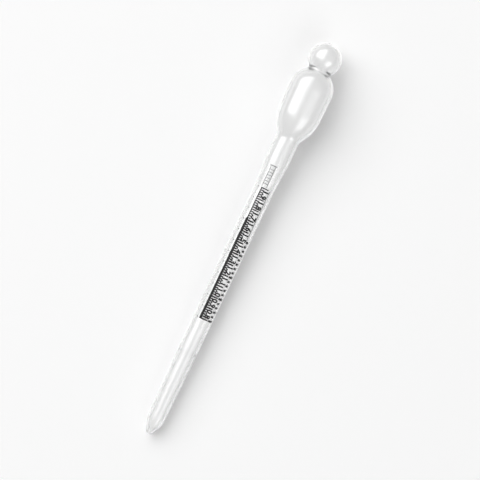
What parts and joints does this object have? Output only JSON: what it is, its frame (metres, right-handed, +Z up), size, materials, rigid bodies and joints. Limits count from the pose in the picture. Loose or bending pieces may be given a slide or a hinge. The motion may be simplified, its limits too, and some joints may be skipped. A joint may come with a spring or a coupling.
{
  "type": "plastic dropper pipette",
  "caption": "Clear moulded dropper pipette: ball end, squeeze bulb, long printed stem and rounded nose with a fine orifice.",
  "frame": {"origin": "bottom centre of the pipette's box as it lies on its side on a surface", "axes": "+Y runs from the nose to the ball, level; the pipette's own axis rises by about 2 degrees towards +Y; +Z is up"},
  "size_m": [0.0164, 0.155, 0.0165],
  "materials": {
    "clear_plastic": "clear natural low-density polyethylene, smooth and glossy",
    "scale_ink": "dense black screen-printed scale"
  },
  "bodies": {
    "root": {"pipette_body": "clear_plastic"}
  },
  "joints": []
}
